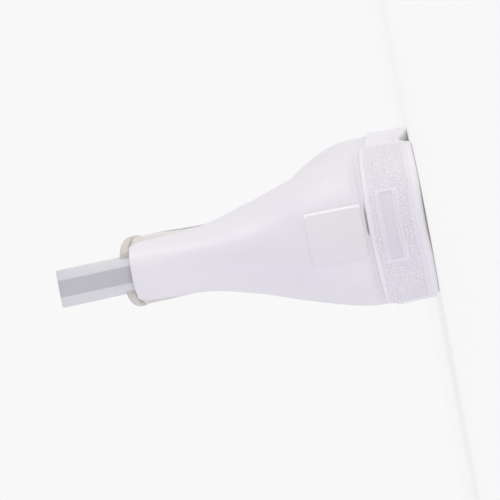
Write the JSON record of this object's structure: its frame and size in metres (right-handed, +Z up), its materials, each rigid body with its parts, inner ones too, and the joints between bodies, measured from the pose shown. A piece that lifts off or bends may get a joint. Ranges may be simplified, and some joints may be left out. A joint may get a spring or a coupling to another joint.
{
  "type": "ankle deck boot",
  "caption": "White rubber pull-on ankle deck boot, right shoe: cup sole with grey chevron tread inserts, hollow upper with stretch side gores and a webbing pull loop at the back.",
  "frame": {"origin": "middle of the bounding box at the floor the sole stands on", "axes": "+X to the boot's right, its lateral side; +Y from heel to toe; +Z up"},
  "size_m": [0.1012, 0.274, 0.188],
  "materials": {
    "white_rubber": "smooth, softly glossy",
    "white_sole": "matt, stippled at the heel",
    "grey_rubber": "matt",
    "stretch_knit": "ribbed elastic",
    "lining": "brushed knit",
    "webbing": "woven",
    "footbed": "knit"
  },
  "bodies": {
    "root": {"outsole": "white_sole", "forefoot_tread": "grey_rubber", "waist_plate": "grey_rubber", "heel_tread": "grey_rubber", "heel_plate": "white_sole", "insole": "footbed", "upper": "white_rubber", "back_patch": "white_rubber", "gore_lateral": "stretch_knit", "gore_medial": "stretch_knit", "collar_lining": "lining", "pull_loop": "webbing"}
  },
  "joints": []
}
